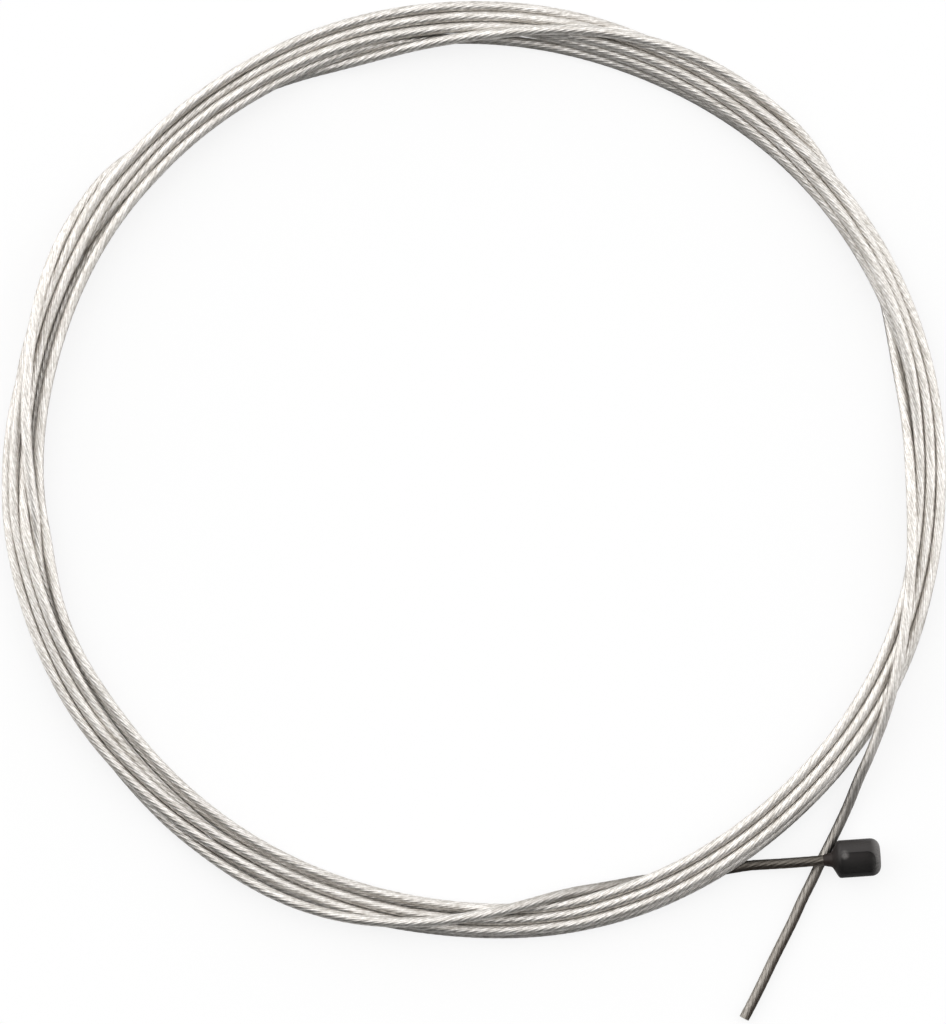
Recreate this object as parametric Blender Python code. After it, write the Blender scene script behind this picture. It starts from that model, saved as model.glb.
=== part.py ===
# Bicycle shift cable: a stainless strand with a cast barrel head, wound into a round coil for storage.
# Metres, +Z up. It lies flat: the coil's axis is vertical, the head and the cut end lie towards -Y.
import math

import bmesh
import bpy
import numpy as np
from mathutils import Matrix, Vector

# Driving dimensions
mm = 0.001
cableDiameter = 1.1 * mm
coilRadius = 47.7 * mm  # middle of the bundle of turns
coilCentre = (0.0, 4.42 * mm)
headDiameter = 4.0 * mm
headLength = 5.93 * mm  # nose, cone and barrel together
clearance = 0.3 * mm  # left between pieces that touch on the real cable

# The bundle: six turns, nested in two layers of three lanes
cableRadius = cableDiameter / 2
lowerLanes = (-1.25, -0.25, 0.75)  # in cable diameters from the coil's middle radius, outwards
upperLanes = (1.25, 0.25, -0.75)
layerRise = cableDiameter * math.sqrt(3) / 2
bundleBottom = cableDiameter + clearance  # the wrapped turn passes beneath
bundleMiddle = bundleBottom + cableRadius + layerRise / 2
grooveTrim = math.radians(20)  # how far the groove between two turns is filled
outlineStep = math.radians(65)
coilSegments = 84

# The wrapped turn: the last turn winds round the bundle instead of lying in it
wrapPitch = 93.5  # degrees round the coil for each winding
wrapFirstTop = -17.0  # degrees, where it first crosses the top of the bundle
wrapHalfWidth = 2.85 * mm
wrapHalfHeight = bundleMiddle - cableRadius  # beneath, it lies on the floor
wrapSquareness = 4.0  # 2 is an ellipse, more is squarer
wrapStart = -14.0  # degrees, where it takes over from the cut end's route
wrapEnd = 279.0  # degrees, where the head end's route takes over
wrapMeeting = 213.0  # degrees, where the two ends' windings meet under the bundle
meetingHalfGap = math.degrees(clearance / 2 / coilRadius)
fullTurn = 360.0

# Routes outside the coil, (x, y, z) in millimetres
cutEndRoute = [
    (28.67, -53.79, 0.55),
    (29.47, -52.08, 0.55),
    (30.74, -49.53, 0.55),
    (32.01, -46.88, 0.55),
    (33.28, -44.34, 0.55),
    (34.45, -41.80, 0.55),
    (35.78, -39.21, 0.55),
    (36.94, -36.60, 0.55),
    (38.16, -34.02, 0.62),
    (39.33, -31.41, 0.98),
    (40.49, -28.76, 1.75),
    (41.98, -24.41, 3.00),
    (43.57, -19.96, 4.02),
    (44.67, -16.41, 4.32),
    (45.55, -11.28, 4.37),
]
headEndRoute = [
    (10.89, -39.24, 2.30),
    (14.75, -38.41, 1.00),
    (18.63, -38.22, 0.58),
    (23.96, -37.86, 0.55),
    (28.20, -37.56, 0.62),
    (30.63, -37.40, 0.95),
    (32.97, -37.24, 1.45),
    (35.09, -37.10, 1.86),
    (36.85, -36.98, 2.00),
]
wrapStep = 6.0  # degrees between the wrapped turn's own route points
tubeSpacing = 3.0 * cableDiameter
tubeSides = 2  # bevel resolution, eight sides

# The head: a nose on the cable, a cone, and a barrel with a round rim
headStart = Vector((37.15 * mm, -36.96 * mm, headDiameter / 2))
headTurn = math.radians(4)
noseRadius = 0.62 * mm
noseLength = 0.55 * mm
coneEnd = 1.45 * mm
shoulder = 0.12 * mm
rimRadius = 1.0 * mm
rimSteps = 6
headSides = 32

# The shallow panel cast into the barrel's side, left bare
panelStart = 1.70 * mm
panelEnd = 5.35 * mm
panelHalfWidth = 1.13 * mm
panelFloor = 1.50 * mm  # from the barrel's axis
panelTilt = math.radians(13)  # turned from straight up towards -Y
panelInnerCorner = 0.35 * mm
panelOuterCorner = 0.85 * mm
panelCornerSteps = 5


def clearScene():
    for item in list(bpy.data.objects):
        bpy.data.objects.remove(item, do_unlink=True)


def makeMaterial(name, colour, roughness, metallic):
    material = bpy.data.materials.new(name)
    material.use_nodes = True
    shader = material.node_tree.nodes["Principled BSDF"]
    shader.inputs["Base Color"].default_value = (*colour, 1.0)
    shader.inputs["Roughness"].default_value = roughness
    shader.inputs["Metallic"].default_value = metallic
    return material


def addObject(name, data, material):
    item = bpy.data.objects.new(name, data)
    item.data.materials.append(material)
    bpy.context.scene.collection.objects.link(item)
    return item


def meshFrom(bm, name, sharpAngle):
    bmesh.ops.remove_doubles(bm, verts=bm.verts, dist=0.001 * mm)
    bmesh.ops.recalc_face_normals(bm, faces=bm.faces)
    mesh = bpy.data.meshes.new(name)
    bm.to_mesh(mesh)
    bm.free()
    mesh.shade_smooth()
    mesh.set_sharp_from_angle(angle=sharpAngle)
    return mesh


def coilPoint(degrees, outwards, height):
    # outwards is measured from the middle of the bundle, height from the floor
    angle = math.radians(degrees)
    reach = coilRadius + outwards
    return Vector((coilCentre[0] + reach * math.cos(angle), coilCentre[1] + reach * math.sin(angle), height))


def wrapPoint(degrees):
    # Round the bundle on a rounded rectangle: over the top inwards, then under it outwards
    phase = math.radians(90 + fullTurn * (degrees - wrapFirstTop) / wrapPitch)
    across = abs(math.cos(phase)) / wrapHalfWidth
    upwards = abs(math.sin(phase)) / wrapHalfHeight
    distance = (across**wrapSquareness + upwards**wrapSquareness) ** (-1 / wrapSquareness)
    return coilPoint(degrees, distance * math.cos(phase), bundleMiddle + distance * math.sin(phase))


def bundleOutline():
    # The outer outline of the six nested turns, as (outwards, height) pairs, anticlockwise
    centres = [Vector((lane * cableDiameter, bundleMiddle - layerRise / 2)) for lane in lowerLanes]
    centres += [Vector((lane * cableDiameter, bundleMiddle + layerRise / 2)) for lane in upperLanes]
    outline = []
    for index, centre in enumerate(centres):
        before = centres[index - 1] - centre
        after = centres[(index + 1) % len(centres)] - centre
        start = math.atan2(before.y, before.x) + grooveTrim
        end = math.atan2(after.y, after.x) - grooveTrim
        while end < start:
            end += math.tau
        steps = math.ceil((end - start) / outlineStep)
        for step in range(steps + 1):
            angle = start + (end - start) * step / steps
            outline.append(centre + cableRadius * Vector((math.cos(angle), math.sin(angle))))
    return outline


def addCoil(material):
    bm = bmesh.new()
    verts = [bm.verts.new(coilPoint(0, point.x, point.y)) for point in bundleOutline()]
    edges = [bm.edges.new((verts[i - 1], verts[i])) for i in range(len(verts))]
    bmesh.ops.spin(
        bm,
        geom=verts + edges,
        cent=(*coilCentre, 0),
        axis=(0, 0, 1),
        angle=math.tau,
        steps=coilSegments,
        use_merge=True,
    )
    return addObject("coil_turns", meshFrom(bm, "coil_turns", math.radians(60)), material)


def smoothRoute(points, spacing):
    # A smooth curve through the points, read again at even distances
    knots = np.array([tuple(point) for point in points])
    ahead = np.vstack([knots[1:], 2 * knots[-1] - knots[-2]])
    behind = np.vstack([2 * knots[0] - knots[1], knots[:-1]])
    slopes = (ahead - behind) / 2
    t = np.linspace(0, 1, 25)[:, None]
    spans = []
    for i in range(len(knots) - 1):
        span = (2 * t**3 - 3 * t**2 + 1) * knots[i] + (3 * t**2 - 2 * t**3) * knots[i + 1]
        span += (t**3 - 2 * t**2 + t) * slopes[i] + (t**3 - t**2) * slopes[i + 1]
        spans.append(span[:-1])
    fine = np.vstack(spans + [knots[-1:]])
    fine[:, 2] = np.maximum(fine[:, 2], cableRadius)  # none of it sinks into the floor
    travelled = np.concatenate([[0], np.cumsum(np.linalg.norm(np.diff(fine, axis=0), axis=1))])
    count = max(2, round(travelled[-1] / spacing) + 1)
    stops = np.linspace(0, travelled[-1], count)
    return np.column_stack([np.interp(stops, travelled, fine[:, axis]) for axis in range(3)])


def addTube(name, route, material):
    points = smoothRoute(route, tubeSpacing)
    curve = bpy.data.curves.new(name, "CURVE")
    curve.dimensions = "3D"
    curve.bevel_depth = cableRadius
    curve.bevel_resolution = tubeSides
    curve.use_fill_caps = True
    spline = curve.splines.new("POLY")
    spline.points.add(len(points) - 1)
    for target, point in zip(spline.points, points):
        target.co = (*point, 1.0)
    spline.use_smooth = True
    return addObject(name, curve, material)


def wrapRoute(start, end):
    # Evenly spaced points of the wrapped turn between two angles
    steps = math.ceil((end - start) / wrapStep)
    return [wrapPoint(start + (end - start) * step / steps) for step in range(steps + 1)]


def addCutEnd(material):
    # From the cut end over the bundle, then wound round it to the meeting point beneath
    route = [Vector(point) * mm for point in cutEndRoute]
    route += wrapRoute(wrapStart, wrapMeeting - meetingHalfGap)
    return addTube("cut_end_wrap", route, material)


def addHeadEnd(material):
    # From the meeting point round the bundle once, under it, and straight to the head
    route = wrapRoute(wrapMeeting + meetingHalfGap, wrapEnd)
    route += [Vector(point) * mm for point in headEndRoute]
    return addTube("head_end_wrap", route, material)


def headProfile():
    # (distance along the axis, radius), from the nose to the outer face
    radius = headDiameter / 2
    profile = [(0, 0), (0, noseRadius), (noseLength, noseRadius * 1.15)]
    profile += [(coneEnd - shoulder, radius - shoulder), (coneEnd + shoulder / 2, radius)]
    rimStart = headLength - rimRadius
    for step in range(rimSteps + 1):
        angle = math.pi / 2 * step / rimSteps
        profile.append((rimStart + rimRadius * math.sin(angle), radius - rimRadius * (1 - math.cos(angle))))
    return profile + [(headLength, 0)]


def panelOutline():
    # A rectangle with round corners, as (distance along the axis, width)
    corners = [
        (panelEnd, panelHalfWidth, panelOuterCorner, 0),
        (panelStart, panelHalfWidth, panelInnerCorner, 1),
        (panelStart, -panelHalfWidth, panelInnerCorner, 2),
        (panelEnd, -panelHalfWidth, panelOuterCorner, 3),
    ]
    outline = []
    for along, across, radius, quarter in corners:
        centre = (along - math.copysign(radius, along - panelStart - mm), across - math.copysign(radius, across))
        for step in range(panelCornerSteps + 1):
            angle = math.pi / 2 * (quarter + step / panelCornerSteps)
            outline.append((centre[0] + radius * math.cos(angle), centre[1] + radius * math.sin(angle)))
    return outline


def panelCutter():
    bm = bmesh.new()
    face = bm.faces.new([bm.verts.new((along, across, panelFloor)) for along, across in panelOutline()])
    lifted = bmesh.ops.extrude_face_region(bm, geom=[face])["geom"]
    top = [item for item in lifted if isinstance(item, bmesh.types.BMVert)]
    bmesh.ops.translate(bm, verts=top, vec=(0, 0, headDiameter / 2))
    bmesh.ops.rotate(bm, verts=bm.verts, cent=(0, 0, 0), matrix=Matrix.Rotation(panelTilt, 3, "X"))
    cutter = bpy.data.objects.new("panel_cutter", meshFrom(bm, "panel_cutter", math.radians(30)))
    bpy.context.scene.collection.objects.link(cutter)
    cutter.display_type = "WIRE"
    cutter.hide_render = True
    return cutter


def addHead(material):
    bm = bmesh.new()
    verts = [bm.verts.new((along, 0, radius)) for along, radius in headProfile()]
    edges = [bm.edges.new(pair) for pair in zip(verts, verts[1:])]
    bmesh.ops.spin(
        bm,
        geom=verts + edges,
        cent=(0, 0, 0),
        axis=(1, 0, 0),
        angle=math.tau,
        steps=headSides,
        use_merge=True,
    )
    head = addObject("cable_head", meshFrom(bm, "cable_head", math.radians(35)), material)
    cutter = panelCutter()
    for item in (head, cutter):
        item.location = headStart
        item.rotation_euler.z = headTurn
    cut = head.modifiers.new("panel", "BOOLEAN")
    cut.operation = "DIFFERENCE"
    cut.object = cutter
    return head


def main():
    clearScene()
    steel = makeMaterial("stainless_strand", (0.62, 0.59, 0.56), 0.35, 1.0)
    blackZinc = makeMaterial("black_cast_zinc", (0.035, 0.033, 0.033), 0.5, 0.0)
    addCoil(steel)
    addCutEnd(steel)
    addHeadEnd(steel)
    addHead(blackZinc)


main()
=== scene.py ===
import math

import bmesh
import bpy
import numpy as np
from mathutils import Matrix, Vector


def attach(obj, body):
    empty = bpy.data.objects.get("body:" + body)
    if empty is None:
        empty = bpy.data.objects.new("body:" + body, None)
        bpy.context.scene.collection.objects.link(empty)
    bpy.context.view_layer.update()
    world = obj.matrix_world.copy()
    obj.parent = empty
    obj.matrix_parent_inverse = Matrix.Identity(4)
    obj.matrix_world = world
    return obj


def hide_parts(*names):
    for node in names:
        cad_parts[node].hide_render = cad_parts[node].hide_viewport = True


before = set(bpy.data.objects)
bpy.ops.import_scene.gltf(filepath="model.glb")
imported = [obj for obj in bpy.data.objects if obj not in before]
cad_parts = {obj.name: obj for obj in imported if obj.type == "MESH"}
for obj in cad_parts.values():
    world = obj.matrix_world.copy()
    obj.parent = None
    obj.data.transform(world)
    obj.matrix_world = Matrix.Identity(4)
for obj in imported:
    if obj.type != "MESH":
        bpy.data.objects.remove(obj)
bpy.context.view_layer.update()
print("frame loaded")

mm = 0.001
pixel = 0.106 * mm  # one pixel of the photograph, at the height of the coil's middle
coilCentre = (0.0, 4.42 * mm)
tiny = 1e-6  # too small to matter, in metres or degrees


def linear(hexColour):
    # sRGB hex to the linear values that a shader takes
    parts = [int(hexColour[i:i + 2], 16) / 255 for i in (1, 3, 5)]
    return tuple(c / 12.92 if c <= 0.04045 else ((c + 0.055) / 1.055) ** 2.4 for c in parts) + (1.0,)


def addNode(tree, kind, settings=None, links=None):
    # settings go to the node's own fields or to its sockets, links from (node, output) to a socket
    node = tree.nodes.new(kind)
    for name, value in (settings or {}).items():
        if isinstance(name, str) and hasattr(node, name):
            setattr(node, name, value)
        else:
            node.inputs[name].default_value = value
    for socket, (source, output) in (links or {}).items():
        tree.links.new(source.outputs[output], node.inputs[socket])
    return node


# The next functions return a (node, output) each, and take such a pair or a constant for a value.


def addFed(tree, kind, settings, values, output):
    settings, links = dict(settings), {}
    for socket, value in values.items():
        if isinstance(value, tuple) and isinstance(value[0], bpy.types.Node):
            links[socket] = value
        else:
            settings[socket] = linear(value) if isinstance(value, str) else value
    return addNode(tree, kind, settings, links), output


def maths(tree, operation, first, second=0.0):
    return addFed(tree, "ShaderNodeMath", {"operation": operation}, {0: first, 1: second}, "Value")


def vectorMaths(tree, operation, first, second, output):
    return addFed(tree, "ShaderNodeVectorMath", {"operation": operation}, {0: first, 1: second}, output)


def mixColours(tree, share, first, second, blend="MIX"):
    settings = {"data_type": "RGBA", "blend_type": blend}
    return addFed(tree, "ShaderNodeMix", settings, {0: share, 6: first, 7: second}, 2)


def mapRange(tree, value, start, end, low=0.0, high=1.0, kind="SMOOTHSTEP"):
    settings = {"interpolation_type": kind, "From Min": start, "From Max": end, "To Min": low, "To Max": high}
    return addFed(tree, "ShaderNodeMapRange", settings, {"Value": value}, "Result")


def noise(tree, place, size, detail, roughness):
    settings = {"Scale": 1 / size, "Detail": detail, "Roughness": roughness}
    return addFed(tree, "ShaderNodeTexNoise", settings, {"Vector": place}, "Fac")


def newMaterial(name):
    material = bpy.data.materials.new(name)
    material.use_nodes = True
    material.node_tree.nodes.clear()
    return material, material.node_tree


def addShader(tree, settings, links, height, relief):
    # The last nodes of the object's materials: a bump, the shader and the output
    strength, distance = relief
    bump = addNode(tree, "ShaderNodeBump", {"Strength": strength, "Distance": distance}, {"Height": height})
    shader = addNode(tree, "ShaderNodeBsdfPrincipled", settings, {**links, "Normal": (bump, "Normal")})
    addNode(tree, "ShaderNodeOutputMaterial", links={"Surface": (shader, "BSDF")})


def addObject(name, data):
    item = bpy.data.objects.new(name, data)
    bpy.context.scene.collection.objects.link(item)
    return item


def meshFrom(bm, name):
    mesh = bpy.data.meshes.new(name)
    bm.to_mesh(mesh)
    bm.free()
    return mesh


def evaluatedMesh(item, name):
    # The object's shape with its curve swept or its modifiers applied, as a mesh of its own
    bpy.context.view_layer.update()
    shape = item.evaluated_get(bpy.context.evaluated_depsgraph_get())
    mesh = bpy.data.meshes.new_from_object(shape)
    mesh.name = name
    return mesh


def roundOff(bm, parts, width, steps, affect):
    bmesh.ops.bevel(
        bm,
        geom=parts,
        offset=width,
        offset_type="OFFSET",
        segments=steps,
        profile=0.5,
        affect=affect,
        material=-1,
    )


# The camera looks straight down, with the photograph's framing
cameraSet = dict(
    lens=250,
    sensor=36,
    viewHeight=108.5 * mm,
    aim=(-0.106 * mm, -0.032 * mm, 2.43 * mm),
    clipShares=(0.05, 60.0),  # of its distance
)


def addCamera():
    spec = cameraSet
    data = bpy.data.cameras.new("camera")
    data.lens = spec["lens"]
    data.sensor_width = spec["sensor"]
    distance = spec["viewHeight"] * spec["lens"] / spec["sensor"]
    data.clip_start, data.clip_end = (share * distance for share in spec["clipShares"])
    camera = addObject("camera", data)
    camera.location = Vector(spec["aim"]) + Vector((0, 0, distance))
    bpy.context.scene.camera = camera


addCamera()

strandSet = dict(
    diameter=1.1 * mm,
    length=2.13,
    turns=6,  # and one more that is wound round them
    wires=12,
    layLength=12.4 * mm,
    ringSpacing=0.79 * mm,
    grooveRadius=0.492 * mm,
    shoulderRadius=0.552 * mm,
    shoulderHalfAngle=5.5,
    sharpAngle=75,
)
settleSet = dict(
    rounds=500,
    lateFrom=0.8,  # past this share of the rounds they have no weight and little pull, and push apart
    pull=0.03,
    latePull=0.004,
    sag=0.002 * mm,
    straighten=0.25,
    leastApart=0.01 * mm,
)

# The strand's route. Angles are degrees round the coil, radii are pixels of the photograph from its middle,
# and heights are millimetres. There is one number for each degree, so neighbouring turns are 360 apart.
freeEnds = dict(tail=32, head=14, blend=6)  # degrees at each end that lie free and stay on their line
lowLayer = 1.65  # middle of a strand that lies on the wrapped turn's underpass
layerRise = 0.953
tailPoints = [
    (28.70, -53.79, 0.55),
    (29.70, -51.89, 0.55),
    (30.76, -49.76, 0.55),
    (31.77, -47.64, 0.55),
    (32.84, -45.51, 0.55),
    (33.90, -43.39, 0.55),
    (34.86, -41.26, 0.55),
    (35.92, -39.14, 0.55),
    (36.93, -37.01, 0.55),
    (38.31, -34.25, 0.56),
    (39.11, -32.55, 0.72),
    (39.85, -30.85, 1.05),
    (40.50, -29.13, 1.50),
    (41.20, -27.40, 1.95),
    (41.87, -25.68, 2.35),
]
headRunPoints = [
    (23.96, -37.93, 0.55),
    (28.20, -37.64, 0.62),
    (30.63, -37.47, 0.95),
    (32.97, -37.31, 1.45),
    (35.09, -37.13, 1.86),
    (36.85, -36.98, 2.00),
    (37.45, -36.94, 2.02),
]
# (angle, radius, height) of the first turn, which is wound round the others, until it sinks among them
wrapStart = [
    (-31, 475, 2.7),
    (-25, 465, 3.6),
    (-19, 455, 3.75),
    (-13, 447, 3.75),
    (-8, 440, 3.6),
    (-2, 435.5, 3.2),
    (5, 435, 2.4),
    (12, 438, 1.25),
    (18, 443, 0.65),
    (24, 447.5, 0.55),
    (31, 452.5, 0.55),
    (37, 457, 0.7),
    (41, 462, 1.1),
    (48, 468.5, 2.0),
    (55, 471.5, 2.7),
    (60, 470.5, 3.2),
    (65, 467, 3.65),
    (70, 461.5, 3.75),
    (75, 454.5, 3.75),
    (80, 446, 3.75),
    (85, 438, 3.5),
    (90, 431.5, 3.1),
    (97, 427.5, 2.5),
    (105, 428, 1.8),
    (111, 430, 1.2),
    (117, 434, 0.75),
    (124, 441, 0.55),
    (131, 454, 0.6),
    (136, 462, 1.0),
    (140, 467, 1.5),
    (145, 470.3, 2.2),
    (150, 471, 2.9),
    (155, 469.5, 3.6),
    (160, 465, 4.0),
    (165, 459, 4.1),
    (170, 453, 4.1),
    (175, 447.5, 4.1),
    (180, 442.5, 3.95),
    (185, 443.5, 3.4),
    (190, 445, 2.5),
    (195, 445, 1.6),
]
# the last turn leaves the others on their outer side, crosses over them and runs under them to the head
wrapEnd = [
    (200, 463.5, 1.2),
    (212, 462.5, 1.2),
    (222, 461.5, 1.2),
    (228, 461.5, 1.35),
    (233, 463.5, 1.8),
    (237, 467, 2.4),
    (241, 469.7, 2.9),
    (246, 470.8, 3.5),
    (252, 468.5, 3.9),
    (258, 462, 3.95),
    (264, 453.5, 3.95),
    (270, 445, 3.9),
    (276, 437, 3.5),
    (282, 432.2, 2.6),
    (287, 434, 1.6),
    (291, 438.5, 0.9),
    (295, 446, 0.6),
]
# radii of the six turns between, one column each; a turn goes on at the table's top, one column further right
laneRadii = {
    200: (442.5, 438.5, 468.5, 457.5, 449, 454.5),
    206: (440, 438, 467.5, 456.5, 448, 454.8),
    210: (438, 431, 468.5, 457, 447.5, 455),
    220: (437, 430.5, 463.5, 452.5, 446, 457),
    230: (437, 430.5, 458.5, 448, 446.5, 459),
    240: (437, 431, 455, 443.5, 449, 460.5),
    252: (438, 432, 456, 445, 450, 461),
    265: (439, 435, 459, 448, 450, 460),
    280: (447, 443, 463, 453, 458, 468),
    300: (451, 446.7, 465.5, 456, 461, 471.5),
    315: (451, 446.7, 465, 455.7, 461, 471),
    330: (454.5, 449.5, 470.5, 461, 465.5, 471),
    345: (451, 449.5, 468.5, 460, 461, 468.5),
    360: (441.5, 444.5, 465, 454.5, 450.5, 461),
    370: (444, 446.5, 464.8, 455.6, 449, 458.5),
    380: (444, 447.8, 463.8, 457, 446, 457),
    390: (442.5, 447.8, 462.7, 457.7, 442.5, 453.5),
    405: (438.3, 447.8, 461.7, 458.3, 438.5, 451),
    415: (434.5, 448, 461.3, 458.5, 438.5, 450.8),
    425: (431.3, 448, 461.7, 458.3, 438.8, 451),
    432: (430.5, 447.2, 462.3, 457.6, 439.3, 452),
    440: (431, 445, 463, 455, 440.5, 455),
    455: (432, 441.5, 463.5, 452.5, 447, 458),
    475: (434, 442.5, 463.3, 454, 446, 460),
    490: (434.5, 444.7, 463, 454, 440, 464),
    505: (436, 448, 463, 454, 443, 465),
    515: (435, 452, 462, 451.5, 443.5, 464),
    525: (434, 460, 460, 450, 442.5, 463),
    535: (435.5, 466, 458.3, 449, 442.5, 461),
    545: (437.5, 467.5, 459, 448.5, 445.5, 461),
    552: (438.5, 468, 458.5, 448.5, 450, 462),
}
# their heights: 0 is the lower layer and 1 the upper one. They dip where a winding crosses over, and pile up
# where the bundle is narrow.
laneHeights = {
    200: (-0.5, 1, 0.9, 1, 1.8, 0),
    206: (-0.8, 1, 0.95, 1, 1.2, 0),
    212: (-1, 1, 1, 1, 0.6, 0),
    220: (-1.1, 1, 1, 1, 0.2, 0),
    230: (-1.1, 1, 1, 1, 0, 0),
    240: (-1, 1, 1, 1, 0, 0),
    252: (-0.7, 0.85, 0.85, 0.85, -0.15, -0.15),
    262: (-0.5, 0.5, 0.5, 0.5, -0.5, -0.5),
    272: (-0.6, 0.35, 0.35, 0.35, -0.6, -0.6),
    280: (-0.3, 0.7, 0.7, 0.7, -0.3, -0.3),
    290: (0, 1, 1, 1, 0, 0),
    315: (0, 1, 1, 1, 0, 0),
    333: (-0.35, 0.65, 0.65, 0.65, -0.35, -0.35),
    350: (0, 1, 1, 1, 0, 0),
    365: (0, 1, 1, 1, 0, 0),
    370: (0, 1.2, 0.9, 1, 0.5, 0),
    378: (0, 1.8, 0.7, 1, 0.9, 0),
    388: (-0.1, 1.9, 0.35, 1, 1, 0),
    394: (-0.5, 1.5, 0.2, 1, 0.7, 0),
    402: (-1, 1, 0.1, 1, 0.5, 0),
    418: (-1.1, 0.9, 0, 0.9, 0.45, -0.1),
    432: (-1.1, 0.6, 0.1, 0.6, 0.15, -0.4),
    445: (-1, 0.75, 0.6, 0.75, -0.1, -0.3),
    458: (-0.1, 1, 1, 1, 0, 0),
    467: (0.2, 1, 1, 0.95, 0, 0),
    475: (0.5, 1, 1, 0.8, 0, 0),
    485: (0.9, 1, 1, 0.2, 0, 0),
    495: (1, 0.9, 1, 0.1, 0, 0),
    505: (1, 0.3, 1.1, 0.6, 0, 0),
    515: (1, 0.2, 1.3, 1.1, 0, -0.3),
    525: (1, 0.2, 1.3, 0.9, -0.2, -0.5),
    535: (0.9, 0.2, 1.2, 0.7, -0.5, -0.7),
    545: (0.7, 0.3, 1.1, 1.2, -0.4, -0.6),
    552: (0.8, 0.6, 1.05, 1.8, -0.2, -0.5),
    560: (1, 0.9, 1, 1.8, 0, -0.4),
}


def smoothThrough(stops, values, where):
    # A smooth curve through the values, with no overshoot between equal ones
    stops, values = np.array(stops, float), np.array(values, float)
    steps = np.diff(values) / np.diff(stops)
    slopes = np.concatenate([steps[:1], (steps[:-1] + steps[1:]) / 2, steps[-1:]])
    flat = np.concatenate([[False], steps[:-1] * steps[1:] <= 0, [False]])
    slopes[flat] = 0
    i = np.clip(np.searchsorted(stops, where, side="right") - 1, 0, len(stops) - 2)
    span = stops[i + 1] - stops[i]
    t = np.clip((where - stops[i]) / span, 0, 1)
    low = (2 * t**3 - 3 * t**2 + 1) * values[i] + (t**3 - 2 * t**2 + t) * slopes[i] * span
    return low + (3 * t**2 - 2 * t**3) * values[i + 1] + (t**3 - t**2) * slopes[i + 1] * span


def polar(points):
    # (x, y, z) in millimetres to (angle, radius in pixels, height)
    rows = []
    for x, y, z in points:
        across, up = x * mm - coilCentre[0], y * mm - coilCentre[1]
        rows.append((math.degrees(math.atan2(up, across)), math.hypot(across, up) / pixel, z))
    return rows


def strandTargets():
    # Where the lists put each degree of the strand
    turns = strandSet["turns"]
    rows = polar(tailPoints) + wrapStart
    for turn in range(turns):
        layers = [row[turn] for row in laneHeights.values()]
        for angle, radii in laneRadii.items():
            height = lowLayer + layerRise * smoothThrough(list(laneHeights), layers, float(angle))
            rows.append((angle + 360 * turn, radii[turn], height))
    rows += [(angle + 360 * turns, radius, height) for angle, radius, height in wrapEnd]
    rows += [(angle + 360 * (turns + 1), radius, height) for angle, radius, height in polar(headRunPoints)]
    stops, radii, heights = (np.array(column, float) for column in zip(*rows))
    degrees = np.arange(math.ceil(stops[0]), stops[-1] + tiny, 1.0)
    degrees = np.concatenate([stops[:1], degrees, stops[-1:]])
    return degrees, smoothThrough(stops, radii * pixel, degrees), smoothThrough(stops, heights * mm, degrees)


def settle(radii, heights):
    # Lets the turns find their places: each keeps near its target, bends little, and lies on what is under it
    size, spec = strandSet["diameter"], settleSet
    aim = np.column_stack([radii, heights])
    spot = aim.copy()
    inner = slice(1, len(spot) - 1)
    for count in range(spec["rounds"]):
        late = count > spec["rounds"] * spec["lateFrom"]
        spot[inner] += spec["latePull" if late else "pull"] * (aim[inner] - spot[inner])
        spot[inner, 1] -= 0.0 if late else spec["sag"]
        bend = spot[:-2] - 2 * spot[1:-1] + spot[2:]
        spot[inner] += spec["straighten"] * bend
        for shift in range(360, len(spot) - 2, 360):
            first, second = spot[1:-1][:-shift], spot[1:-1][shift:]
            gap = second - first
            apart = np.maximum(np.hypot(gap[:, 0], gap[:, 1]), spec["leastApart"])
            short = np.clip(size - apart, 0, None)
            move = gap / apart[:, None] * (short * 0.5)[:, None]
            change = np.zeros_like(spot[1:-1])
            change[:-shift] -= move
            change[shift:] += move
            spot[1:-1] += change
        spot[:, 1] = np.maximum(spot[:, 1], size / 2)
    count = np.arange(len(spot))
    tailHold = np.clip((freeEnds["tail"] - count) / freeEnds["blend"], 0, 1)
    headHold = np.clip((freeEnds["head"] - count[::-1]) / freeEnds["blend"], 0, 1)
    hold = np.maximum(tailHold, headHold)[:, None]
    spot = hold * aim + (1 - hold) * spot
    return spot[:, 0], spot[:, 1]


def strandRoute():
    degrees, radii, heights = strandTargets()
    radii, heights = settle(radii, heights)
    turn = np.radians(degrees)
    across = coilCentre[0] + radii * np.cos(turn)
    up = coilCentre[1] + radii * np.sin(turn)
    return np.column_stack([across, up, heights])


def evenly(points, spacing):
    # The same route, read again at even distances
    travelled = np.concatenate([[0], np.cumsum(np.linalg.norm(np.diff(points, axis=0), axis=1))])
    keep = np.concatenate([[True], np.diff(travelled) > tiny])
    points, travelled = points[keep], travelled[keep]
    stops = np.linspace(0, travelled[-1], round(travelled[-1] / spacing) + 1)
    return np.column_stack([smoothThrough(travelled, points[:, axis], stops) for axis in range(3)]), stops


route, travelled = evenly(strandRoute(), strandSet["ringSpacing"])
routeLength = travelled[-1]
print("strand route", len(route), "points,", round(routeLength, 4), "m")


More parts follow.
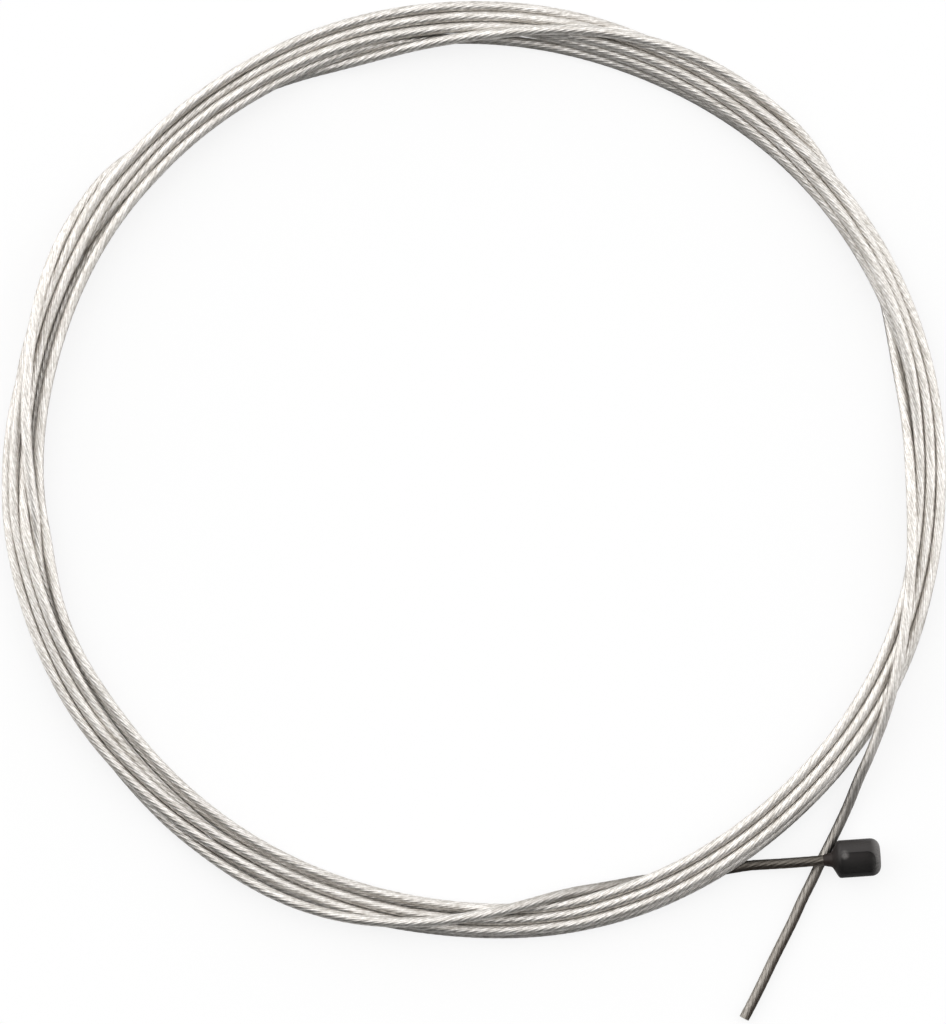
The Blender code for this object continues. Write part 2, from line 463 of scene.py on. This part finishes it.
def strandProfile():
    # The strand's outline: twelve wires, each a groove and two shoulders
    spec = strandSet
    data = bpy.data.curves.new("strandOutline", "CURVE")
    data.dimensions = "2D"
    spline = data.splines.new("POLY")
    spline.use_cyclic_u = True
    columns = []
    for wire in range(spec["wires"]):
        middle = 360 / spec["wires"] * (wire + 0.5)
        columns.append((middle - 180 / spec["wires"], spec["grooveRadius"]))
        columns.append((middle - spec["shoulderHalfAngle"], spec["shoulderRadius"]))
        columns.append((middle + spec["shoulderHalfAngle"], spec["shoulderRadius"]))
    spline.points.add(len(columns) - 1)
    for point, (degrees, radius) in zip(spline.points, columns):
        turn = math.radians(degrees)
        point.co = (radius * math.cos(turn), radius * math.sin(turn), 0, 1)
    return addObject("strandOutline", data)


def addStrand(points, distances):
    # The outline is swept along the route and turned with the lay, then the bar becomes a mesh
    outline = strandProfile()
    data = bpy.data.curves.new("strandSweep", "CURVE")
    data.dimensions = "3D"
    data.twist_mode = "Z_UP"
    data.bevel_mode = "OBJECT"
    data.bevel_object = outline
    spline = data.splines.new("POLY")
    spline.points.add(len(points) - 1)
    for point, place, distance in zip(spline.points, points, distances):
        point.co = (*place, 1)
        point.tilt = -(math.tau * distance / strandSet["layLength"]) % math.tau  # left-hand lay
    spline.use_smooth = True
    sweep = addObject("strandSweep", data)
    mesh = evaluatedMesh(sweep, "shiftStrand")
    for item in (sweep, outline):
        bpy.data.objects.remove(item)
    bm = bmesh.new()
    bm.from_mesh(mesh)
    bmesh.ops.holes_fill(bm, edges=[edge for edge in bm.edges if edge.is_boundary])
    bmesh.ops.recalc_face_normals(bm, faces=bm.faces)
    bm.to_mesh(mesh)
    bm.free()
    mesh.set_sharp_from_angle(angle=math.radians(strandSet["sharpAngle"]))  # at the cut faces alone
    return addObject("shiftStrand", mesh)


strand = addStrand(route, travelled)
print("strand swept,", len(strand.data.polygons), "faces")

# A ramp is where it starts and ends, then its values there, which are 0 and 1 where none are given. The ends'
# ramp and reach are millimetres from the strand's end. A pattern is its scale along the strand in 1/mm and
# round it in 1/wire, then its detail and roughness.
strandLook = dict(
    darkSteel="#c8c3bc",
    brightSteel="#faf7f3",
    groove="#9c948c",
    grooveRamp=(0.0, 0.11, 0.75, 0.0),  # in wires from the groove's middle
    tone=((0.35, 7.3, 1.0), 2.0, 0.5),
    lines=((0.6, 14.0, 1.0), 3.0, 0.6),
    specks=((2.0, 1.6, 1.0), 1.0, 0.5),
    mottlingRamp=(0.75, 1.25),
    # painted shade: the cut end and the stretch before the head are darkened, more on the side facing -Y and
    # a little +X
    cutEndShadeRamp=(12.0, 48.0, 1.0, 0.0),
    headEndShadeReach=(42.0, 12.0),
    shadedSide=(0.5, -0.866, 0.0),
    shadedSideRamp=(-0.25, 0.45),
    lightShadeColours=("#b3b0ac", "#73706c"),  # near the cut end, near the head
    darkShadeColours=("#46403b", "#6a645f"),
    roughnessRamp=(0.3, 0.7, 0.42, 0.58),
    relief=(0.25, 0.01 * mm),  # strength, height
)


def strandMaterial():
    # Drawn stainless steel wire: twelve bright wires with dark grooves between, faint lines along each wire,
    # and a tone that wanders a little along it. The lay is 12.4 mm, so a wire crosses the top every 1.03 mm.
    # Fine speckles half a millimetre long break up the shine. The cut end and the last stretch before the
    # head are darkened with painted shade, darker still on the side that faces -Y and a little +X.
    look = strandLook
    material, tree = newMaterial("drawnStainlessWire")
    place = addNode(tree, "ShaderNodeUVMap", {"uv_map": "UVMap"})
    parts = addNode(tree, "ShaderNodeSeparateXYZ", links={"Vector": (place, "UV")})
    along = maths(tree, "MULTIPLY", (parts, "X"), routeLength / mm)
    around = maths(tree, "MULTIPLY", (parts, "Y"), strandSet["wires"])
    fromGroove = maths(tree, "PINGPONG", around, 0.5)
    groove = mapRange(tree, fromGroove, *look["grooveRamp"])
    wire = maths(tree, "FLOOR", around)
    wirePlace = (addNode(tree, "ShaderNodeCombineXYZ", links={"X": along, "Y": wire}), "Vector")
    linePlace = (addNode(tree, "ShaderNodeCombineXYZ", links={"X": along, "Y": around}), "Vector")
    patterns = []
    for where, name in ((wirePlace, "tone"), (linePlace, "lines"), (linePlace, "specks")):
        scale, detail, roughness = look[name]
        stretched = vectorMaths(tree, "MULTIPLY", where, scale, "Vector")
        patterns.append(noise(tree, stretched, 1.0, detail, roughness))
    tone, lines, specks = patterns
    mottling = mapRange(tree, maths(tree, "ADD", tone, specks), *look["mottlingRamp"], kind="LINEAR")
    steel = mixColours(tree, mottling, look["darkSteel"], look["brightSteel"])
    # painted shade at both ends of the strand, darker still on one side
    headStart, headFull = (routeLength / mm - distance for distance in look["headEndShadeReach"])
    cutEndShade = mapRange(tree, along, *look["cutEndShadeRamp"])
    headEndShade = mapRange(tree, along, headStart, headFull)
    paintedShadeEnds = maths(tree, "MAXIMUM", cutEndShade, headEndShade)
    shape = addNode(tree, "ShaderNodeNewGeometry")
    side = vectorMaths(tree, "DOT_PRODUCT", (shape, "Normal"), look["shadedSide"], "Value")
    lightShade = mixColours(tree, headEndShade, *look["lightShadeColours"])
    darkShade = mixColours(tree, headEndShade, *look["darkShadeColours"])
    paintedShade = mixColours(tree, mapRange(tree, side, *look["shadedSideRamp"]), lightShade, darkShade)
    paintedShadeSteel = mixColours(tree, 1.0, paintedShade, steel, blend="MULTIPLY")
    skin = mixColours(tree, paintedShadeEnds, steel, paintedShadeSteel)
    colour = mixColours(tree, groove, skin, look["groove"])
    roughness = mapRange(tree, lines, *look["roughnessRamp"], kind="LINEAR")
    links = {"Base Color": colour, "Roughness": roughness}
    addShader(tree, {"Metallic": 1.0}, links, lines, look["relief"])
    return material


# The cut face shows the wires' ends: one in the middle, six round it and the twelve outer ones
wireEndSet = dict(
    rings=((1, 0.0), (6, 0.21 * mm), (12, 0.44 * mm)),  # wires, distance from the middle
    radius=0.105 * mm,
    sides=16,
    proud=0.04 * mm,
    rounding=0.025 * mm,
    roundingSteps=2,
)


def addWireEnds(mesh):
    spec = wireEndSet
    outlinePoints = 3 * strandSet["wires"]
    ring = [Vector(vertex.co) for vertex in mesh.vertices[:outlinePoints]]
    ahead = [Vector(vertex.co) for vertex in mesh.vertices[outlinePoints:2 * outlinePoints]]
    middle = sum(ring, Vector()) / len(ring)
    facing = (middle - sum(ahead, Vector()) / len(ahead)).normalized()
    across = ((ring[1] + ring[2]) / 2 - middle).normalized()
    faceTurn = Matrix((facing.cross(across), across, facing)).transposed().to_4x4()
    bm = bmesh.new()
    for wires, distance in spec["rings"]:
        for wire in range(wires):
            turn = math.tau / wires * wire
            made = bmesh.ops.create_cone(
                bm,
                cap_ends=True,
                segments=spec["sides"],
                radius1=spec["radius"],
                radius2=spec["radius"],
                depth=2 * spec["proud"],
            )
            place = (distance * math.sin(turn), distance * math.cos(turn), 0)
            bmesh.ops.translate(bm, verts=made["verts"], vec=place)
    rims = [edge for edge in bm.edges if edge.verts[0].co.z > 0 and edge.verts[1].co.z > 0]
    roundOff(bm, rims, spec["rounding"], spec["roundingSteps"], "EDGES")
    bmesh.ops.transform(bm, matrix=Matrix.Translation(middle) @ faceTurn, verts=bm.verts)
    return addObject("cutWireEnds", meshFrom(bm, "cutWireEnds"))


cutLook = dict(
    steel=("#8b847d", "#d8d3cc"),
    tear=(0.05 * mm, 3.0, 0.6),  # size, detail, roughness
    roughnessRamp=(0.3, 0.7, 0.35, 0.6),
    relief=(0.5, 0.01 * mm),
)


def cutMaterial():
    # Stainless wire sheared across: paler than the drawn skin, with a torn, rough face
    look = cutLook
    material, tree = newMaterial("shearedStainlessWire")
    place = addNode(tree, "ShaderNodeTexCoord")
    tear = noise(tree, (place, "Object"), *look["tear"])
    colour = mixColours(tree, tear, *look["steel"])
    roughness = mapRange(tree, tear, *look["roughnessRamp"], kind="LINEAR")
    addShader(tree, {"Metallic": 1.0}, {"Base Color": colour, "Roughness": roughness}, tear, look["relief"])
    return material


strand.data.materials.clear()
strand.data.materials.append(strandMaterial())
wireEnds = addWireEnds(strand.data)
wireEnds.data.materials.append(cutMaterial())
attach(wireEnds, "root")
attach(strand, "root")
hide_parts("coil_turns", "cut_end_wrap", "head_end_wrap")
headExit = (37.15 * mm, -36.96 * mm, 2.0 * mm)

# The head is zinc, cast round the strand's end: a neck that swells from the strand, a cone, a barrel with a
# round rim, and a shallow panel in its side. Its sizes are in millimetres, along it from the strand's exit.
headSet = dict(
    turn=4.0,
    sides=96,
    neckAndCone=[
        (-0.16, 0.40),
        (-0.15, 0.53),
        (-0.08, 0.57),
        (0.10, 0.62),
        (0.35, 0.69),
        (0.66, 0.745),
        (0.80, 0.82),
        (0.90, 0.95),
        (1.29, 1.66),
        (1.37, 1.79),
        (1.46, 1.90),
        (1.56, 1.97),
        (1.68, 2.00),
    ],
    barrelRadius=2.0,
    length=5.93,
    rimRadius=1.0,
    rimSteps=12,
    gate=[(5.93, 0.60), (5.90, 0.55), (5.90, 0.0)],
    panelEnds=(1.70, 5.35),
    panelHalfWidth=1.13,
    panelFloor=1.50,
    panelTilt=13.0,
    panelCorners=(0.35, 0.85),  # towards the cone, towards the rim
    cornerSteps=8,
    edgeSoftening=0.07,
    softeningSteps=3,
    softeningAngle=35,
    sharpAngle=40,
)


def headPlace():
    return Matrix.Translation(headExit) @ Matrix.Rotation(math.radians(headSet["turn"]), 4, "Z")


def addPanelCutter():
    # A plate with round corners that is cut out of the barrel's side
    spec = headSet
    near, far = spec["panelEnds"]
    middle = (near + far) / 2
    bm = bmesh.new()
    bmesh.ops.create_grid(bm, x_segments=1, y_segments=1, size=0.5)
    bmesh.ops.scale(bm, vec=(far - near, 2 * spec["panelHalfWidth"], 1), verts=bm.verts)
    bmesh.ops.translate(bm, vec=(middle, 0, spec["panelFloor"]), verts=bm.verts)
    coneCorner, rimCorner = spec["panelCorners"]
    for outer, corner in ((True, rimCorner), (False, coneCorner)):
        corners = [vertex for vertex in bm.verts if (vertex.co.x > middle) == outer]
        roundOff(bm, corners, corner, spec["cornerSteps"], "VERTICES")
    lifted = bmesh.ops.extrude_face_region(bm, geom=list(bm.faces))["geom"]
    top = [item for item in lifted if isinstance(item, bmesh.types.BMVert)]
    bmesh.ops.translate(bm, vec=(0, 0, spec["barrelRadius"]), verts=top)
    bmesh.ops.recalc_face_normals(bm, faces=bm.faces)
    tilt = Matrix.Rotation(math.radians(spec["panelTilt"]), 3, "X")
    bmesh.ops.rotate(bm, cent=(0, 0, 0), matrix=tilt, verts=bm.verts)
    bmesh.ops.scale(bm, vec=(mm, mm, mm), verts=bm.verts)
    bmesh.ops.transform(bm, matrix=headPlace(), verts=bm.verts)
    return addObject("panelCutter", meshFrom(bm, "panelCutter"))


def addHead():
    spec = headSet
    profile = [(spec["neckAndCone"][0][0], 0.0)] + spec["neckAndCone"]
    for step in range(spec["rimSteps"] + 1):
        angle = math.pi / 2 * step / spec["rimSteps"]
        along = spec["length"] - spec["rimRadius"] * (1 - math.sin(angle))
        profile.append((along, spec["barrelRadius"] - spec["rimRadius"] * (1 - math.cos(angle))))
    profile += spec["gate"]
    bm = bmesh.new()
    points = [bm.verts.new((along * mm, 0, radius * mm)) for along, radius in profile]
    lines = [bm.edges.new(pair) for pair in zip(points, points[1:])]
    bmesh.ops.spin(
        bm,
        geom=points + lines,
        cent=(0, 0, 0),
        axis=(1, 0, 0),
        angle=math.tau,
        steps=spec["sides"],
        use_merge=True,
    )
    bmesh.ops.remove_doubles(bm, verts=bm.verts, dist=tiny)
    bmesh.ops.recalc_face_normals(bm, faces=bm.faces)
    bmesh.ops.transform(bm, matrix=headPlace(), verts=bm.verts)
    casting = addObject("castHead", meshFrom(bm, "castHead"))
    cutter = addPanelCutter()
    cut = casting.modifiers.new("panel", "BOOLEAN")
    cut.operation = "DIFFERENCE"
    cut.object = cutter
    soften = casting.modifiers.new("softEdges", "BEVEL")
    soften.width = spec["edgeSoftening"] * mm
    soften.segments = spec["softeningSteps"]
    soften.limit_method = "ANGLE"
    soften.angle_limit = math.radians(spec["softeningAngle"])
    finished = evaluatedMesh(casting, "castHead")
    casting.modifiers.clear()
    casting.data = finished
    bpy.data.objects.remove(cutter)
    finished.shade_smooth()
    finished.set_sharp_from_angle(angle=math.radians(spec["sharpAngle"]))
    return casting


# places and reaches are in millimetres, in the head's own frame: X along it, Y across it in the picture
headLook = dict(
    grain=(0.22, 5.0, 0.62),  # size, detail, roughness
    black=("#0b0b0b", "#211f1e"),
    # painted light: one side of the head is made lighter, as where light falls
    paintedLitSide="#3d3938",
    paintedLitSideRamp=(-1.0, 0.7, 0.0, 0.5),
    neck="#2b211d",
    neckRamp=(0.3, 1.6, 0.75, 0.0),
    # painted highlight: a lighter grey on the rim and in one corner of the panel
    highlightGrey="#8b8886",
    rimHighlightRamp=(4.8, 5.8, 0.0, 0.5),
    highlightCorner=(2.1, 0.52, 1.5),
    cornerRamp=(0.15, 0.65, 0.85, 0.0),
    patchRamp=(0.35, 0.6, 0.5, 1.0),
    roughnessRamp=(0.3, 0.7, 0.45, 0.65),
    paintedSheenRamp=(-1.8, 1.8, 0.12, 0.8),
    refraction=1.36,
    relief=(0.5, 0.02 * mm),
)


def headMaterial():
    # Cast zinc with a thin black finish: satin, with a fine cast grain. It is browner at the neck, where the
    # casting meets the strand. One side is lighter and glossier, which is painted light and painted sheen,
    # and the rim and one corner of the panel carry a painted grey highlight, broken up by the grain.
    look = headLook
    material, tree = newMaterial("blackCastZinc")
    place = addNode(tree, "ShaderNodeTexCoord")
    local = (addNode(
        tree,
        "ShaderNodeMapping",
        {
            "vector_type": "TEXTURE",
            "Location": headExit,
            "Rotation": (0.0, 0.0, math.radians(headSet["turn"])),
            "Scale": (mm, mm, mm),
        },
        {"Vector": (place, "Object")},
    ), "Vector")
    parts = addNode(tree, "ShaderNodeSeparateXYZ", links={"Vector": local})
    along, across = (parts, "X"), (parts, "Y")
    grain = noise(tree, local, *look["grain"])
    colour = mixColours(tree, grain, *look["black"])
    # painted light: lighter towards one side
    colour = mixColours(tree, mapRange(tree, across, *look["paintedLitSideRamp"]), colour, look["paintedLitSide"])
    colour = mixColours(tree, mapRange(tree, along, *look["neckRamp"]), colour, look["neck"])
    rim = mapRange(tree, along, *look["rimHighlightRamp"])
    fromCorner = vectorMaths(tree, "DISTANCE", local, look["highlightCorner"], "Value")
    corner = mapRange(tree, fromCorner, *look["cornerRamp"])
    patches = mapRange(tree, grain, *look["patchRamp"], kind="LINEAR")
    # painted highlight at the rim and one panel corner, broken up by the grain
    paintedHighlight = maths(tree, "MULTIPLY", maths(tree, "MAXIMUM", rim, corner), patches)
    colour = mixColours(tree, paintedHighlight, colour, look["highlightGrey"])
    roughness = mapRange(tree, grain, *look["roughnessRamp"], kind="LINEAR")
    # painted sheen: the specular level rises towards one side
    paintedSheen = mapRange(tree, across, *look["paintedSheenRamp"], kind="LINEAR")
    links = {"Base Color": colour, "Roughness": roughness, "Specular IOR Level": paintedSheen}
    addShader(tree, {"Metallic": 0.0, "IOR": look["refraction"]}, links, grain, look["relief"])
    return material


head = addHead()
head.data.materials.clear()
head.data.materials.append(headMaterial())
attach(head, "root")
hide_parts("cable_head")
print("head finished")

# The stage is a white floor in a bright studio. Turns are degrees from +X towards +Y, rises from the floor.
floorSet = dict(
    size=8.0,
    colour="#fafafa",
    whiteShare=0.82,  # of plain white in what the camera sees of the floor
    mirroredShare=0.45,  # and in what the metal shows of it
)
# the metal also shows the coil's own shadow on the floor, a dark ring a little to the near side
coilShadow = dict(turn=285, shift=3.6 * mm, radius=47.6 * mm, core=3.4 * mm, reach=5.4 * mm, colour="#121111")
# a black card beside the coil's near side, out of the picture
darkCard = dict(turn=240, distance=0.075, width=0.1, height=0.07, colour="#0c0b0b")
# a weak soft light from the far side, the top of the picture
keyBox = dict(turn=80, rise=24, distance=1.0, width=1.2, height=0.4, level=0.2)
# The studio is bright, and dimmer round three places: the near side, the far side and low to the near right.
# Within core degrees of a place's middle the level is inside, and past edge degrees it is outside. The three
# levels are multiplied.
studioParts = (
    dict(turn=258, rise=34, core=36, edge=68, inside=0.04, outside=2.12),
    dict(turn=70, rise=22, core=25, edge=62, inside=0.45, outside=1.0),
    dict(turn=300, rise=16, core=20, edge=46, inside=0.15, outside=1.0),
)


def direction(turn, rise):
    turn, rise = math.radians(turn), math.radians(rise)
    return Vector((math.cos(rise) * math.cos(turn), math.cos(rise) * math.sin(turn), math.sin(rise)))


def floorMaterial():
    # Matt white paper, which keeps the object's shadow
    material, tree = newMaterial("whitePaper")
    rays = addNode(tree, "ShaderNodeLightPath")
    mirrored = maths(tree, "MAXIMUM", (rays, "Is Glossy Ray"), (rays, "Is Transmission Ray"))
    seenShare = maths(tree, "MULTIPLY", (rays, "Is Camera Ray"), floorSet["whiteShare"])
    mirroredShare = maths(tree, "MULTIPLY", mirrored, floorSet["mirroredShare"])
    whiteShare = maths(tree, "ADD", seenShare, mirroredShare)
    paper = addNode(tree, "ShaderNodeBsdfDiffuse", {"Color": linear(floorSet["colour"])})
    white = addNode(tree, "ShaderNodeEmission", {"Color": (1.0, 1.0, 1.0, 1.0), "Strength": 1.0})
    paper = addNode(
        tree,
        "ShaderNodeMixShader",
        links={0: whiteShare, 1: (paper, "BSDF"), 2: (white, "Emission")},
    )
    place = addNode(tree, "ShaderNodeTexCoord")
    middle = Vector((*coilCentre, 0)) + direction(coilShadow["turn"], 0) * coilShadow["shift"]
    fromMiddle = vectorMaths(tree, "DISTANCE", (place, "Object"), tuple(middle), "Value")
    off = maths(tree, "ABSOLUTE", maths(tree, "SUBTRACT", fromMiddle, coilShadow["radius"]))
    shadow = mapRange(tree, off, coilShadow["core"], coilShadow["reach"], 1.0, 0.0)
    dark = addNode(tree, "ShaderNodeBsdfDiffuse", {"Color": linear(coilShadow["colour"])})
    paper = addNode(
        tree,
        "ShaderNodeMixShader",
        links={0: maths(tree, "MULTIPLY", shadow, mirrored), 1: (paper, "Shader"), 2: (dark, "BSDF")},
    )
    addNode(tree, "ShaderNodeOutputMaterial", links={"Surface": (paper, "Shader")})
    return material


def addFloor():
    bm = bmesh.new()
    bmesh.ops.create_grid(bm, x_segments=1, y_segments=1, size=floorSet["size"])
    floor = addObject("floor", meshFrom(bm, "floor"))
    floor.data.materials.append(floorMaterial())


def addDarkCard(turn, distance, width, height, colour):
    # It shows in reflections alone, and casts no shadow
    away = direction(turn, 0)
    bm = bmesh.new()
    bmesh.ops.create_grid(bm, x_segments=1, y_segments=1, size=0.5)
    bmesh.ops.scale(bm, vec=(width, height, 1), verts=bm.verts)
    bmesh.ops.transform(bm, matrix=away.to_track_quat("Z", "Y").to_matrix().to_4x4(), verts=bm.verts)
    bmesh.ops.translate(bm, vec=away * distance + Vector((0, 0, height / 2)), verts=bm.verts)
    card = addObject("darkCard", meshFrom(bm, "darkCard"))
    material, tree = newMaterial("blackCard")
    shader = addNode(tree, "ShaderNodeBsdfDiffuse", {"Color": linear(colour)})
    addNode(tree, "ShaderNodeOutputMaterial", links={"Surface": (shader, "BSDF")})
    card.data.materials.append(material)
    card.visible_camera = False
    card.visible_diffuse = False
    card.visible_shadow = False


def addSoftbox(name, turn, rise, distance, width, height, level):
    # level is the brightness of the box's face, where 1 is white
    data = bpy.data.lights.new(name, "AREA")
    data.shape = "RECTANGLE"
    data.size = width
    data.size_y = height
    data.energy = level * math.pi * width * height
    lamp = addObject(name, data)
    away = direction(turn, rise)
    lamp.location = away * distance
    lamp.rotation_euler = away.to_track_quat("Z", "Y").to_euler()
    lamp.visible_camera = False


def addWorld():
    world = bpy.data.worlds.new("studio")
    world.use_nodes = True
    tree = world.node_tree
    tree.nodes.clear()
    place = addNode(tree, "ShaderNodeTexCoord")
    level = 1.0
    for part in studioParts:
        side = direction(part["turn"], part["rise"])
        towards = vectorMaths(tree, "DOT_PRODUCT", (place, "Generated"), side, "Value")
        edge, core = (math.cos(math.radians(part[name])) for name in ("edge", "core"))
        share = mapRange(tree, towards, edge, core, part["outside"], part["inside"])
        level = maths(tree, "MULTIPLY", level, share)
    shade = addNode(tree, "ShaderNodeBackground", {"Color": (1.0, 1.0, 1.0, 1.0)}, {"Strength": level})
    addNode(tree, "ShaderNodeOutputWorld", links={"Surface": (shade, "Background")})
    bpy.context.scene.world = world


addFloor()
addDarkCard(**darkCard)
addSoftbox("keyBox", **keyBox)
addWorld()
bpy.context.scene.view_settings.view_transform = "Standard"
print("stage lit")
